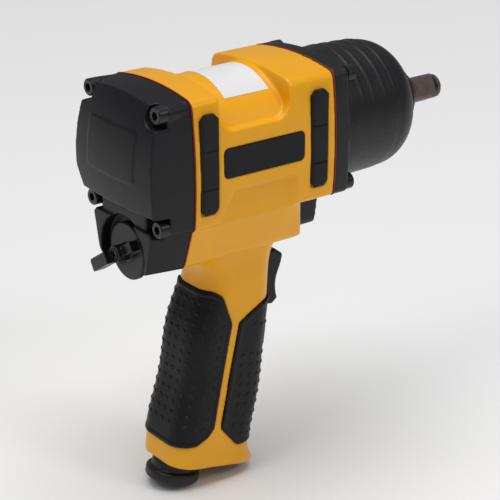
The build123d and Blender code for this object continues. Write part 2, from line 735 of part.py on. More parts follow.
with BuildPart() as rear_cover:
    extrude(block_outline(COVER_FRONT), amount=COVER_REAR - COVER_FRONT - 2, taper=COVER_TAPER)
    add(crown.part, mode=Mode.INTERSECT)
    add(panel.part)
    # bosses round the two top screws
    with BuildSketch(Plane.YZ.offset(COVER_FRONT)):
        with Locations(*TOP_SCREWS):
            Circle(BOSS_JOINT_R)
    extrude(amount=COVER_SEAT - COVER_FRONT, taper=-BOSS_FLARE)
    # chin of the cover, round selector boss, and the web above the selector
    loft([chin_outline(COVER_FRONT, CHIN_TOP_Y, CHIN_BOTTOM_Y), chin_outline(CHEEK_REAR, 25.5, 20.5)])
    with BuildSketch(SELECTOR.offset(COVER_FRONT)):
        Circle(BOSS_R)
    extrude(amount=SELECTOR_FLOOR - COVER_FRONT)
    with BuildSketch(Plane.YZ.offset(COVER_SEAT)):
        with Locations((0, COVER_LIP + 2)):
            Rectangle(2 * WEB_HALF, 20, align=(Align.CENTER, Align.MAX))
    extrude(amount=WEB_REAR - COVER_SEAT)
    # selector recess, screw seats and through holes
    with BuildSketch(SELECTOR.offset(SELECTOR_FLOOR)):
        Circle(SELECTOR_R)
    extrude(amount=-20, mode=Mode.SUBTRACT)
    with BuildSketch(SELECTOR.offset(COVER_FRONT)):
        Circle(VALVE_R + RUNNING_FIT)
    extrude(amount=-20, mode=Mode.SUBTRACT)
    with BuildSketch(Plane.YZ.offset(COVER_SEAT)):
        with Locations(*BODY_SCREWS):
            Circle(SEAT_R)
        for y, z in BODY_SCREWS:
            with Locations((y, z)):
                Rectangle(20, 2 * SEAT_R, align=(Align.MIN if y > 0 else Align.MAX, Align.CENTER))
    extrude(amount=-20, mode=Mode.SUBTRACT)
    with BuildSketch(Plane.YZ.offset(COVER_FRONT)):
        with Locations(*BODY_SCREWS):
            Circle(CLEARANCE_R)
    extrude(amount=-20, mode=Mode.SUBTRACT)
    # lower corners behind the seats are cut back to a small slanting facet
    for side in (1, -1):
        with BuildSketch(Plane.XY.offset(FACET_Z)):
            with BuildLine():
                Polyline((-214, side * 16), (-194, side * 38), (-214, side * 38), close=True)
            make_face()
        extrude(amount=FACET_HEIGHT, taper=20, mode=Mode.SUBTRACT)
    # hollow back, and the ring that clamps the motor stack
    revolve(about_drive((COVER_FRONT, 0), (COVER_FRONT, COVER_HOLLOW_R), (COVER_HOLLOW_REAR, COVER_HOLLOW_R),
                        (COVER_HOLLOW_REAR, 0)), axis=Axis.X, mode=Mode.SUBTRACT)
    revolve(about_drive((COVER_FRONT - 1, 22), (COVER_FRONT - 1, PILOT_R), (STACK_REAR, PILOT_R),
                        (STACK_REAR, 22)), axis=Axis.X)
    # pocket of the detent ball and its spring
    with BuildSketch(DETENT.offset(SELECTOR_FLOOR)):
        Circle(DETENT_R)
    extrude(amount=DETENT_DEPTH, mode=Mode.SUBTRACT)
save(rear_cover.part, "rear_cover")

cap_screws("rear_cover_screws", COVER_SEAT, REAR_JOINT + SCREW_REACH - 1, BODY_SCREWS, -1)

# ---- selector -----------------------------------------------------------------------
with BuildPart() as reverse_valve_bushing:
    with BuildSketch(SELECTOR.offset(REAR_JOINT)):
        Circle(SLEEVE_R)
        Circle(VALVE_R + RUNNING_FIT, mode=Mode.SUBTRACT)
    extrude(amount=SLEEVE_LENGTH)
    with BuildSketch(Plane.XY.offset(SELECTOR_Z)):
        with Locations((PORT_X, 0)):
            SlotCenterToCenter(6, 3.6, rotation=90)
    extrude(amount=20, mode=Mode.SUBTRACT)
save(reverse_valve_bushing.part, "reverse_valve_bushing")

with BuildPart() as reverse_valve:
    with BuildSketch(SELECTOR.offset(VALVE_FRONT)):
        Circle(VALVE_R)
    extrude(amount=VALVE_REAR - VALVE_FRONT)
    # flat that opens one motor port at a time
    with BuildSketch(Plane.XZ):
        with Locations((PORT_X, SELECTOR_Z + VALVE_R)):
            Rectangle(6, 4)
    extrude(amount=10, both=True, mode=Mode.SUBTRACT)
    with BuildSketch(SELECTOR.offset(VALVE_REAR)):
        Circle(LEVER_SCREW_R)
    extrude(amount=12, mode=Mode.SUBTRACT)
save(reverse_valve.part, "reverse_valve")

with BuildPart() as reverse_lever:
    with BuildSketch(SELECTOR.offset(DIAL_FRONT)):
        Circle(DIAL_R)
    extrude(amount=-DIAL_THICKNESS)
    chamfer(reverse_lever.edges().group_by(Axis.X)[0], 0.6)
    with BuildSketch(SELECTOR.offset(DIAL_FRONT)):
        Circle(HUB_R)
    extrude(amount=HUB_REAR - DIAL_FRONT)
    # bar across the dial, with its thumb tab standing out at the lower left
    with BuildSketch(SELECTOR.offset(DIAL_FRONT - DIAL_THICKNESS)):
        with Locations(Rotation(0, 0, TAB_ANGLE)):
            Rectangle(2 * BAR_REACH, 5)
    extrude(amount=-BAR_HEIGHT)
    with BuildSketch(SELECTOR.offset(TAB_FRONT)) as tab:
        with Locations(Rotation(0, 0, TAB_ANGLE)):
            with Locations((TAB_ROOT, 0)):
                Rectangle(TAB_REACH - TAB_ROOT, 6.4, align=(Align.MIN, Align.CENTER))
        fillet(tab.vertices().group_by(Axis.X)[-1], 1.5)
    extrude(amount=TAB_REAR - TAB_FRONT)
    with BuildSketch(SELECTOR.offset(HUB_REAR)):
        Circle(LEVER_HEAD_R + RUNNING_FIT)
    extrude(amount=2.5, mode=Mode.SUBTRACT)
    with BuildSketch(SELECTOR.offset(TAB_REAR)):
        Circle(LEVER_SCREW_R)
    extrude(amount=20, mode=Mode.SUBTRACT)
    with BuildSketch(SELECTOR.offset(DIAL_FRONT)):
        Circle(VALVE_R)
    extrude(amount=VALVE_REAR - DIAL_FRONT, mode=Mode.SUBTRACT)
    # arc groove that the detent ball runs in
    with BuildSketch(SELECTOR.offset(DIAL_FRONT)):
        Circle(DETENT_RADIUS + 1.9)
        Circle(DETENT_RADIUS - 1.9, mode=Mode.SUBTRACT)
    extrude(amount=-1.2, mode=Mode.SUBTRACT)
save(reverse_lever.part, "reverse_lever")

with BuildPart() as lever_screw:
    with BuildSketch(SELECTOR.offset(HUB_REAR + 2.5)):
        Circle(LEVER_HEAD_R)
    extrude(amount=-2.8)
    with BuildSketch(SELECTOR.offset(HUB_REAR + 2.5)):
        Circle(LEVER_SCREW_R)
    extrude(amount=LEVER_SCREW_LENGTH)
    with BuildSketch(SELECTOR.offset(HUB_REAR - 0.3)):
        Rectangle(4.4, 0.8)
        Rectangle(0.8, 4.4)
    extrude(amount=1.4, mode=Mode.SUBTRACT)
save(lever_screw.part, "lever_screw")

with BuildPart() as detent_ball:
    with Locations(DETENT.offset(SELECTOR_FLOOR + 0.55)):
        Sphere(DETENT_R - 0.05)
save(detent_ball.part, "detent_ball")


def coil(radius, wire, pitch, height, plane):
    """Open coil spring that stands on a plane, grown along the plane's normal."""
    with BuildPart() as spring:
        with BuildLine():
            turns = Helix(pitch=pitch, height=height, radius=radius)
        with BuildSketch(Plane(origin=turns @ 0, z_dir=turns % 0)):
            Circle(wire)
        sweep(path=turns, is_frenet=True)
    return spring.part.moved(plane.location)


with BuildPart() as detent_spring:
    add(coil(1.05, 0.22, 1.1, 4.0, DETENT.offset(SELECTOR_FLOOR + 2.5)))
save(detent_spring.part, "detent_spring")

# ---- motor --------------------------------------------------------------------------
with BuildPart() as motor_cylinder:
    with BuildSketch(Plane.YZ.offset(CYLINDER_REAR)):
        Circle(BORE_R)
        with Locations((0, -ECCENTRIC)):
            Circle(CYLINDER_R, mode=Mode.SUBTRACT)
        with Locations((0, DOWEL_Z)):
            Circle(DOWEL_R, mode=Mode.SUBTRACT)
    extrude(amount=CYLINDER_FRONT - CYLINDER_REAR)
    # exhaust slots in the lower wall
    with BuildSketch(Plane.XY.offset(-BORE_R - 1)):
        with GridLocations(12, 12, 3, 2):
            with Locations(((CYLINDER_REAR + CYLINDER_FRONT) / 2, 0)):
                SlotOverall(8, 3)
    extrude(amount=8, mode=Mode.SUBTRACT)
save(motor_cylinder.part, "motor_cylinder")


def end_plate(inner, outer, name):
    """End plate of the motor from its face at the rotor (inner) to its bearing side (outer)."""
    seat = inner + (outer - inner) * 0.2
    with BuildPart() as plate:
        with BuildSketch(Plane.YZ.offset(inner)):
            Circle(BORE_R)
            Circle(SHAFT_R + 1, mode=Mode.SUBTRACT)
            with Locations((0, DOWEL_Z)):
                Circle(DOWEL_R, mode=Mode.SUBTRACT)
        extrude(amount=outer - inner)
        with BuildSketch(Plane.YZ.offset(seat)):
            Circle(BEARING_R)
        extrude(amount=outer - seat, mode=Mode.SUBTRACT)
    save(plate.part, name)
    return seat


rear_seat = end_plate(CYLINDER_REAR, STACK_REAR, "rear_end_plate")
front_seat = end_plate(CYLINDER_FRONT, STACK_FRONT, "front_end_plate")

for end, seat, step in (("rear", rear_seat, -1), ("front", front_seat, 1)):
    middle = seat + step * RACE_WIDTH / 2
    with BuildPart() as outer_race:
        with BuildSketch(Plane.YZ.offset(seat)):
            Circle(BEARING_R)
            Circle(OUTER_RACE_R, mode=Mode.SUBTRACT)
        extrude(amount=step * RACE_WIDTH)
    save(outer_race.part, f"{end}_bearing_outer_race")
    with BuildPart() as inner_race:
        with BuildSketch(Plane.YZ.offset(seat)):
            Circle(INNER_RACE_R)
            Circle(SHAFT_R, mode=Mode.SUBTRACT)
        extrude(amount=step * RACE_WIDTH)
    save(inner_race.part, f"{end}_bearing_inner_race")
    with BuildPart() as balls:
        with Locations(Plane.YZ.offset(middle)):
            with PolarLocations((INNER_RACE_R + OUTER_RACE_R) / 2, BALL_COUNT):
                Sphere(BALL_R)
    save(balls.part, f"{end}_bearing_balls")

with BuildPart() as cylinder_pin:
    with BuildSketch(Plane.YZ.offset(STACK_REAR + 1)):
        with Locations((0, DOWEL_Z)):
            Circle(DOWEL_R)
    extrude(amount=STACK_FRONT - STACK_REAR - 2)
save(cylinder_pin.part, "cylinder_pin")

with BuildPart() as rotor:
    with BuildSketch(Plane.YZ.offset(ROTOR_REAR)):
        Circle(ROTOR_R)
        with PolarLocations(0, VANE_COUNT):
            with Locations((VANE_ROOT, 0)):
                Rectangle(20, VANE_THICKNESS, align=(Align.MIN, Align.CENTER), mode=Mode.SUBTRACT)
    extrude(amount=ROTOR_FRONT - ROTOR_REAR)
    with BuildSketch(Plane.YZ.offset(SHAFT_REAR)):
        Circle(SHAFT_R)
    extrude(amount=SHAFT_FRONT - SHAFT_REAR)
    chamfer(rotor.edges().group_by(Axis.X)[0], 0.6)
    chamfer(rotor.edges().group_by(Axis.X)[-1], 0.6)
save(rotor.part, "rotor")

with BuildPart() as rotor_vanes:
    with BuildSketch(Plane.YZ.offset(ROTOR_REAR + 0.2)):
        with PolarLocations(0, VANE_COUNT):
            with Locations((VANE_ROOT + 0.4, 0)):
                Rectangle(VANE_R - VANE_ROOT - 0.4, VANE_THICKNESS - 0.2, align=(Align.MIN, Align.CENTER))
    extrude(amount=ROTOR_FRONT - ROTOR_REAR - 0.4)
save(rotor_vanes.part, "rotor_vanes")

# ---- twin hammer mechanism ----------------------------------------------------------
with BuildPart() as hammer_cage:
    for start, end in ((CAGE_REAR, CAGE_REAR + CAGE_PLATE), (CAGE_FRONT - CAGE_PLATE, CAGE_FRONT)):
        with BuildSketch(Plane.YZ.offset(start)):
            Circle(CAGE_R)
            with Locations((0, PIN_Z), (0, -PIN_Z)):
                Circle(PIN_R, mode=Mode.SUBTRACT)
        extrude(amount=end - start)
    # two struts join the plates outside the hammers
    with BuildSketch(Plane.YZ.offset(CAGE_REAR)) as struts:
        Circle(CAGE_R)
        Rectangle(2 * STRUT_INNER, 80, mode=Mode.SUBTRACT)
    extrude(amount=CAGE_FRONT - CAGE_REAR)
    with BuildSketch(Plane.YZ.offset(CAGE_REAR)):
        Circle(HUB_OUTER_R)
    extrude(amount=CAGE_HUB_REAR - CAGE_REAR)
    with BuildSketch(Plane.YZ.offset(CAGE_HUB_REAR)):
        Circle(SHAFT_R)
    extrude(amount=20, mode=Mode.SUBTRACT)
    with BuildSketch(Plane.YZ.offset(CAGE_FRONT - CAGE_PLATE - 1)):
        Circle(ANVIL_BODY_R + 0.6)
    extrude(amount=CAGE_PLATE + 2, mode=Mode.SUBTRACT)
save(hammer_cage.part, "hammer_cage")


def hammer(name, rear, up):
    """One swinging hammer ring with a pin bore at each side and one striking dog."""
    with BuildPart() as ring:
        with BuildSketch(Plane.YZ.offset(rear)):
            Circle(CAGE_R - 0.4)
            Rectangle(2 * (STRUT_INNER - 0.3), 80, mode=Mode.INTERSECT)
            Circle(HAMMER_BORE_R, mode=Mode.SUBTRACT)
            with Locations((0, up * (DOG_R + HAMMER_BORE_R) / 2)):
                Rectangle(8, HAMMER_BORE_R - DOG_R + 1)
            with Locations((0, PIN_Z), (0, -PIN_Z)):
                Circle(PIN_R, mode=Mode.SUBTRACT)
        extrude(amount=HAMMER_LENGTH)
    save(ring.part, name)


hammer("rear_hammer", REAR_HAMMER, -1)
hammer("front_hammer", FRONT_HAMMER, 1)

with BuildPart() as hammer_pins:
    with BuildSketch(Plane.YZ.offset(CAGE_REAR + 0.5)):
        with Locations((0, PIN_Z), (0, -PIN_Z)):
            Circle(PIN_R)
    extrude(amount=CAGE_FRONT - CAGE_REAR - 1)
save(hammer_pins.part, "hammer_pins")

with BuildPart() as anvil:
    revolve(about_drive((ANVIL_REAR, 0), (ANVIL_REAR, ANVIL_BODY_R), (COLLAR_FRONT, ANVIL_BODY_R),
                        (COLLAR_FRONT, JOURNAL_R), (SHOULDER_REAR, JOURNAL_R),
                        (SHOULDER_FRONT, DRIVE_AF / 2), (SHOULDER_FRONT, 0)),
            axis=Axis.X)
    # striking jaws, one for each hammer
    for rear, across in ((REAR_HAMMER, -1), (FRONT_HAMMER, 1)):
        with BuildSketch(Plane.YZ.offset(rear)):
            with Locations((across * (JAW_R - 4), 0)):
                Rectangle(8, 8)
        extrude(amount=HAMMER_LENGTH)
    # square drive, its corners turned to the journal's radius
    with BuildSketch(Plane.YZ.offset(SHOULDER_REAR)):
        Rectangle(DRIVE_AF, DRIVE_AF, rotation=DRIVE_TURN)
        Circle(JOURNAL_R, mode=Mode.INTERSECT)
    extrude(amount=GROOVE_REAR - SHOULDER_REAR)
    revolve(about_drive((GROOVE_REAR - 1, 0), (GROOVE_REAR - 1, GROOVE_R), (GROOVE_FRONT, GROOVE_R),
                        (GROOVE_FRONT, ROUND_END_R), (-1.2, ROUND_END_R), (0, ROUND_END_R - 1.2), (0, 0)),
            axis=Axis.X)
save(anvil.part, "anvil")


def split_ring(name, inner, outer, gap):
    """Thin ring in the drive's groove, with an optional gap so that it can spring."""
    with BuildPart() as ring:
        with BuildSketch(Plane.YZ.offset(GROOVE_REAR + 0.2)):
            Circle(outer)
            Circle(inner, mode=Mode.SUBTRACT)
            if gap:
                with Locations((0, -outer)):
                    Rectangle(gap, 4, mode=Mode.SUBTRACT)
        extrude(amount=GROOVE_FRONT - GROOVE_REAR - 0.4)
    save(ring.part, name)


split_ring("friction_ring_cushion", GROOVE_R, RING_INNER_R, 0)
split_ring("friction_ring", RING_INNER_R, RING_OUTER_R, 1.2)

# ---- trigger and throttle -----------------------------------------------------------
with BuildPart() as trigger:
    with BuildSketch(Plane.XZ) as blade:
        with BuildLine():
            Polyline((-121.6, -64.0), (-113.0, -64.6), (-108.3, -68.2))
            Spline((-108.3, -68.2), (-109.3, -73.0), (-112.3, -81.0), (-112.6, -87.0), (-111.5, -92.0))
            Polyline((-111.5, -92.0), (-114.5, -94.4), (-128.0, -92.6), (-121.6, -64.0))
        make_face()
        fillet(blade.vertices().sort_by(Axis.X)[-1], 1.4)
    extrude(amount=TRIGGER_HALF, both=True)
    fillet(trigger.edges().filter_by(Axis.Y, reverse=True).filter_by(lambda e: e.center().X > -121), 1.6)
    split(bisect_by=ROD.offset(TRIGGER_BACK), keep=Keep.TOP)
    with BuildSketch(ROD.offset(TRIGGER_BACK)):
        Circle(ROD_R)
    extrude(amount=ROD_FRONT - TRIGGER_BACK, mode=Mode.SUBTRACT)
save(trigger.part, "trigger")

with BuildPart() as trigger_stem:
    with BuildSketch(ROD.offset(ROD_REAR + 3)):
        Circle(ROD_R)
    extrude(amount=ROD_FRONT - ROD_REAR - 3)
    with BuildSketch(ROD.offset(ROD_REAR + 3)):
        Circle(ROD_R)
    extrude(amount=-3, taper=25)
save(trigger_stem.part, "trigger_stem")

with BuildPart() as trigger_bushing:
    with BuildSketch(ROD.offset(BUSHING_REAR)):
        Circle(BUSHING_R)
        Circle(ROD_R + RUNNING_FIT, mode=Mode.SUBTRACT)
    extrude(amount=POCKET_FLOOR - BUSHING_REAR)
save(trigger_bushing.part, "trigger_bushing")

with BuildPart() as throttle_valve_seat:
    with BuildSketch(FOOT.offset(SEAT_BOTTOM)):
        Circle(PASSAGE_R)
        Circle(SEAT_HOLE_R, mode=Mode.SUBTRACT)
    extrude(amount=SEAT_TOP - SEAT_BOTTOM)
save(throttle_valve_seat.part, "throttle_valve_seat")

with BuildPart() as throttle_valve:
    with BuildSketch(FOOT.offset(VALVE_HEAD_BOTTOM)):
        Circle(VALVE_HEAD_R)
    extrude(amount=VALVE_HEAD_TOP - VALVE_HEAD_BOTTOM)
    with BuildSketch(FOOT.offset(VALVE_HEAD_TOP)):
        Circle(VALVE_STEM_R)
    extrude(amount=ROD_HEIGHT + 2 - VALVE_HEAD_TOP)
save(throttle_valve.part, "throttle_valve")

with BuildPart() as throttle_spring:
    add(coil(4.9, 0.5, 4.2, SPRING_TOP - SCREEN_TOP - 1.2, FOOT.offset(SCREEN_TOP + 0.55)))
save(throttle_spring.part, "throttle_spring")

# ---- air inlet and exhaust ----------------------------------------------------------
with BuildPart() as inlet_bushing:
    with BuildSketch(FOOT.offset(COLLAR_BOTTOM)):
        Circle(COLLAR_R)
    extrude(amount=COLLAR_HEIGHT)
    fillet(inlet_bushing.edges(), 1.4)
    with BuildSketch(FOOT.offset(COLLAR_BOTTOM + 1)):
        Circle(NECK_R)
    extrude(amount=SOLE_RISE - SEAL_THICKNESS - COLLAR_BOTTOM - 1)
    with BuildSketch(FOOT):
        Circle(INLET_THREAD_R)
    extrude(amount=INLET_DEPTH)
    with BuildSketch(FOOT.offset(COLLAR_BOTTOM)):
        Circle(NPT_R)
    extrude(amount=INLET_DEPTH - COLLAR_BOTTOM, mode=Mode.SUBTRACT)
save(inlet_bushing.part, "inlet_bushing")

with BuildPart() as inlet_seal:
    with BuildSketch(SOLE.offset(-SEAL_THICKNESS)):
        Circle(SEAL_R)
        Circle(INLET_THREAD_R, mode=Mode.SUBTRACT)
    extrude(amount=SEAL_THICKNESS)
save(inlet_seal.part, "inlet_seal")

with BuildPart() as inlet_screen:
    with BuildSketch(FOOT.offset(INLET_DEPTH)):
        Circle(PASSAGE_R - 0.1)
    extrude(amount=1)
    with BuildSketch(FOOT.offset(INLET_DEPTH)):
        Circle(SCREEN_R)
    extrude(amount=SCREEN_TOP - INLET_DEPTH)
    with BuildSketch(FOOT.offset(INLET_DEPTH)):
        Circle(SCREEN_R - 0.6)
    extrude(amount=SCREEN_TOP - INLET_DEPTH - 0.6, mode=Mode.SUBTRACT)
    with BuildSketch(Plane(origin=FOOT.offset(INLET_DEPTH + 6).origin, x_dir=FORWARD, z_dir=(0, 1, 0))):
        with Locations((0, 0)):
            Rectangle(3, 7)
    extrude(amount=10, both=True, mode=Mode.SUBTRACT)
    with BuildSketch(Plane(origin=FOOT.offset(INLET_DEPTH + 6).origin, x_dir=(0, 1, 0), z_dir=FORWARD)):
        Rectangle(3, 7)
    extrude(amount=10, both=True, mode=Mode.SUBTRACT)
save(inlet_screen.part, "inlet_screen")

with BuildPart() as exhaust_muffler:
    with BuildSketch(SOLE.offset(DEFLECTOR_DEPTH)):
        with Locations((MUFFLER_X, 0)):
            RectangleRounded(MUFFLER_LENGTH - 0.4, 2 * MUFFLER_HALF - 0.4, 3.8)
            Circle(DEFLECTOR_SCREW_R + 0.5, mode=Mode.SUBTRACT)
    extrude(amount=MUFFLER_TOP - DEFLECTOR_DEPTH - 1)
save(exhaust_muffler.part, "exhaust_muffler")

with BuildPart() as exhaust_deflector:
    with BuildSketch(SOLE):
        with Locations((MUFFLER_X, 0)):
            RectangleRounded(DEFLECTOR_LENGTH - 0.3, 2 * DEFLECTOR_HALF - 0.3, 4.8)
            Circle(DEFLECTOR_SCREW_R, mode=Mode.SUBTRACT)
        with Locations((MUFFLER_X - 7, 0), (MUFFLER_X + 7, 0)):
            with GridLocations(3.4, 0, 2, 1):
                SlotOverall(15, 1.8, rotation=90, mode=Mode.SUBTRACT)
    extrude(amount=DEFLECTOR_DEPTH)
save(exhaust_deflector.part, "exhaust_deflector")

with BuildPart() as deflector_screw:
    with BuildSketch(SOLE):
        with Locations((MUFFLER_X, 0)):
            Circle(3.4)
    extrude(amount=-1.4)
    with BuildSketch(SOLE):
        with Locations((MUFFLER_X, 0)):
            Circle(DEFLECTOR_SCREW_R)
    extrude(amount=MUFFLER_TOP + 7)
    with BuildSketch(SOLE.offset(-1.4)):
        with Locations((MUFFLER_X, 0)):
            Rectangle(4.6, 0.9)
            Rectangle(0.9, 4.6)
    extrude(amount=0.9, mode=Mode.SUBTRACT)
save(deflector_screw.part, "deflector_screw")
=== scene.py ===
"""Looks of the pneumatic impact wrench: softened castings, studded grips, paint, rubber and steel.

Metres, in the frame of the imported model: +X forward along the drive axis, +Z up, +Y to the
operator's left. Every piece takes its place from the frame's nodes, mounts and joints.
"""

import json
import math

import bmesh
import bpy
from mathutils import Matrix, Vector
from mathutils.bvhtree import BVHTree
from mathutils.kdtree import KDTree


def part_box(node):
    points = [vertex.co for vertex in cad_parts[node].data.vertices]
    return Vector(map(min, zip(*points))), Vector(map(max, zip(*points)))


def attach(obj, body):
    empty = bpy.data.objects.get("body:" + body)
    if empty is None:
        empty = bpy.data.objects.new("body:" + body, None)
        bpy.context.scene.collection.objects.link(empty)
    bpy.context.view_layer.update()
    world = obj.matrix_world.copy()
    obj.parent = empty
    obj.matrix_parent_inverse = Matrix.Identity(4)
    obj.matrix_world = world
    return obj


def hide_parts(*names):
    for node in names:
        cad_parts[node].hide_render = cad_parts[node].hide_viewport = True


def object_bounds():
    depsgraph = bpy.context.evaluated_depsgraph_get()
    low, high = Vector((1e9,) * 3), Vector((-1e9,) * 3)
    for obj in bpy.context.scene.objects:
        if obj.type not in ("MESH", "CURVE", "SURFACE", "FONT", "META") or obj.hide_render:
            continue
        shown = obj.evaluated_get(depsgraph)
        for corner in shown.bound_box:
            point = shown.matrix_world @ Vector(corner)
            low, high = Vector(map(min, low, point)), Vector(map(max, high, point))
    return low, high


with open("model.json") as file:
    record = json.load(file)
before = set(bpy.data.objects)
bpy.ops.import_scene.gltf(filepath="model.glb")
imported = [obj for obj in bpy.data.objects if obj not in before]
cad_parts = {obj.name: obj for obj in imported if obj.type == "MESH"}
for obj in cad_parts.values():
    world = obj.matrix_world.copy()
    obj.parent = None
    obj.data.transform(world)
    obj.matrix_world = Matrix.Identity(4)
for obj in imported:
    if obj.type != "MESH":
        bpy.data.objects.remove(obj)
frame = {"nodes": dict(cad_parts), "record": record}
cad_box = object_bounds()
nodes = frame["nodes"]
record = frame["record"]
MM = 0.001

slot_of = {sub["node"]: sub["material_slot"] for sub in record["subparts"]}
body_of = {name: body for body, names in record["behaviour"]["bodies"].items() for name in names}
mounts = {mount["name"]: mount for mount in record["mounts"]}

# the handle leans back; its axis is the air inlet's
INLET = Vector(mounts["air_inlet"]["pos_m"])
UP_HANDLE = -Vector(mounts["air_inlet"]["axis"]).normalized()
FORWARD = Vector((UP_HANDLE.z, 0, -UP_HANDLE.x))


# ---- camera and light -----------------------------------------------------------------
CAMERA_PLACE = (-0.6266, -0.6676, 0.2755)
CAMERA_TARGET = (-0.1237, 0.0, -0.0651)
LENS_MM = 127.3
SENSOR_MM = 36.0
LIGHT_TARGET = (-0.12, 0.0, -0.06)
WORLD_STRENGTH = 0.22


def aimed(place, target):
    """Transform of a camera or light at place that looks at target."""
    place, target = Vector(place), Vector(target)
    return Matrix.Translation(place) @ (target - place).to_track_quat("-Z", "Y").to_matrix().to_4x4()


def add_camera():
    """Long lens behind the tool's right shoulder, a little above the drive axis."""
    data = bpy.data.cameras.new("camera")
    data.lens = LENS_MM
    data.sensor_width = SENSOR_MM
    data.clip_start = 0.05
    camera = bpy.data.objects.new("camera", data)
    bpy.context.scene.collection.objects.link(camera)
    camera.matrix_world = aimed(CAMERA_PLACE, CAMERA_TARGET)
    bpy.context.scene.camera = camera


def add_light(name, place, size, power):
    """Round white area light aimed at the middle of the tool."""
    data = bpy.data.lights.new(name, "AREA")
    data.shape = "DISK"
    data.size = size
    data.energy = power
    light = bpy.data.objects.new(name, data)
    bpy.context.scene.collection.objects.link(light)
    light.matrix_world = aimed(place, LIGHT_TARGET)


def add_studio():
    """One broad light overhead, a small one behind and a small one on the right side."""
    add_light("overhead", (-0.1, -0.1, 4.0), 4.0, 122.0)
    add_light("key", (-1.0, -0.15, 1.0), 0.5, 2.8)
    add_light("side", (0.45, -1.15, 0.95), 0.4, 3.2)
    world = bpy.data.worlds.new("studio")
    world.use_nodes = True
    background = world.node_tree.nodes["Background"]
    background.inputs["Color"].default_value = (1.0, 1.0, 1.0, 1.0)
    background.inputs["Strength"].default_value = WORLD_STRENGTH
    bpy.context.scene.world = world
    bpy.context.scene.view_settings.view_transform = "Standard"


# ---- procedural materials -------------------------------------------------------------
def surface(name, colour, roughness, metallic=0.0, tint=0.06, tint_scale=45.0, rough_spread=0.06,
            rough_scale=160.0, bumps=(), specular=0.5, coat=0.0, coat_roughness=0.15):
    """Principled surface with mottled colour, uneven roughness and bump layers.

    bumps is a list of (kind, scale per metre, depth in metres).
    """
    material = bpy.data.materials.new(name)
    material.use_nodes = True
    tree = material.node_tree
    shader = tree.nodes["Principled BSDF"]
    shader.inputs["Metallic"].default_value = metallic
    shader.inputs["Specular IOR Level"].default_value = specular
    shader.inputs["Coat Weight"].default_value = coat
    shader.inputs["Coat Roughness"].default_value = coat_roughness
    place = tree.nodes.new("ShaderNodeTexCoord").outputs["Object"]

    def noise(scale, detail=3.0):
        node = tree.nodes.new("ShaderNodeTexNoise")
        node.inputs["Scale"].default_value = scale
        node.inputs["Detail"].default_value = detail
        tree.links.new(place, node.inputs["Vector"])
        return node.outputs["Fac"]

    ramp = tree.nodes.new("ShaderNodeValToRGB")
    low, high = ramp.color_ramp.elements
    low.position, high.position = 0.3, 0.7
    low.color = (*[max(c * (1 - tint), 0.0) for c in colour], 1.0)
    high.color = (*[min(c * (1 + tint), 1.0) for c in colour], 1.0)
    tree.links.new(noise(tint_scale), ramp.inputs["Fac"])
    tree.links.new(ramp.outputs["Color"], shader.inputs["Base Color"])

    spread = tree.nodes.new("ShaderNodeMapRange")
    spread.inputs["To Min"].default_value = max(roughness - rough_spread, 0.02)
    spread.inputs["To Max"].default_value = min(roughness + rough_spread, 1.0)
    tree.links.new(noise(rough_scale), spread.inputs["Value"])
    tree.links.new(spread.outputs["Result"], shader.inputs["Roughness"])

    normal = None
    for kind, scale, depth in bumps:
        if kind == "cells":
            cells = tree.nodes.new("ShaderNodeTexVoronoi")
            cells.inputs["Scale"].default_value = scale
            tree.links.new(place, cells.inputs["Vector"])
            height = cells.outputs["Distance"]
        elif kind == "turned":
            stretch = tree.nodes.new("ShaderNodeMapping")
            stretch.inputs["Scale"].default_value = (1.0, 0.06, 0.06)
            tree.links.new(place, stretch.inputs["Vector"])
            grain = tree.nodes.new("ShaderNodeTexNoise")
            grain.inputs["Scale"].default_value = scale
            tree.links.new(stretch.outputs["Vector"], grain.inputs["Vector"])
            height = grain.outputs["Fac"]
        else:
            height = noise(scale)
        bump = tree.nodes.new("ShaderNodeBump")
        bump.inputs["Strength"].default_value = 1.0
        bump.inputs["Distance"].default_value = depth
        tree.links.new(height, bump.inputs["Height"])
        if normal is not None:
            tree.links.new(normal, bump.inputs["Normal"])
        normal = bump.outputs["Normal"]
    if normal is not None:
        tree.links.new(normal, shader.inputs["Normal"])
    return material


